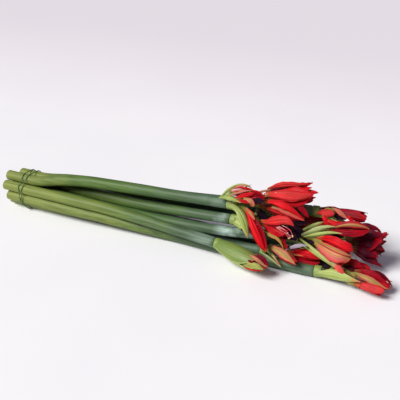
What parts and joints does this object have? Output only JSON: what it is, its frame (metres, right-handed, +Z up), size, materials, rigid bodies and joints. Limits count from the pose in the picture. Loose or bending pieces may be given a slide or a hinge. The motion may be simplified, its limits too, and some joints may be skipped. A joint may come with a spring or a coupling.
{
  "type": "tied bunch of amaryllis flowers",
  "caption": "Bunch of cut red double amaryllis lying down: hollow green stems tied near their cut ends, pale spathes, and heads of buds and half-open flowers.",
  "frame": {"origin": "on the surface that the bunch lies on, under the middle of its box", "axes": "+X from the cut ends to the flowers, +Y to the back, +Z up"},
  "size_m": [0.633, 0.1449, 0.1183],
  "materials": {
    "stem": "waxy leaf green, satin, with a pale bloom",
    "spathe": "waxy pale green sheath, drying to papery edges",
    "petal": "satin red petal with darker shaded parts and green-tinged ribs",
    "stamen": "satin pink filament with a pale anther",
    "tie": "dark green waxed cord"
  },
  "bodies": {
    "root": {"stem_a": "stem", "spathe_a": "spathe", "stem_b": "stem", "spathe_b": "spathe", "stem_c": "stem", "spathe_c": "spathe", "stem_d": "stem", "spathe_d": "spathe", "stem_e": "stem", "spathe_e": "spathe", "stem_f": "stem", "spathe_f": "spathe", "stem_g": "stem", "spathe_g": "spathe", "stem_h": "stem", "spathe_h": "spathe", "stem_i": "stem", "spathe_i": "spathe", "bloom_a_curl": "petal", "bloom_a_hang": "petal", "bloom_a_open": "petal", "bloom_a_slim": "petal", "bloom_b_upper": "petal", "bloom_b_lower": "petal", "bloom_c_half": "petal", "bloom_c_back": "petal", "bloom_d_red": "petal", "bloom_d_upper": "petal", "bloom_d_fat": "petal", "bloom_e_front": "petal", "bloom_e_middle": "petal", "bloom_e_back": "petal", "bloom_f_bud": "petal", "bloom_f_floor": "petal", "bloom_f_upper": "petal", "bloom_g_olive": "petal", "bloom_g_red": "petal", "bloom_h_open": "petal", "bloom_h_low": "petal", "bloom_i_curl": "petal", "bloom_i_back": "petal", "stamens_c_half": "stamen", "stamens_h_open": "stamen", "tie": "tie"}
  },
  "joints": []
}
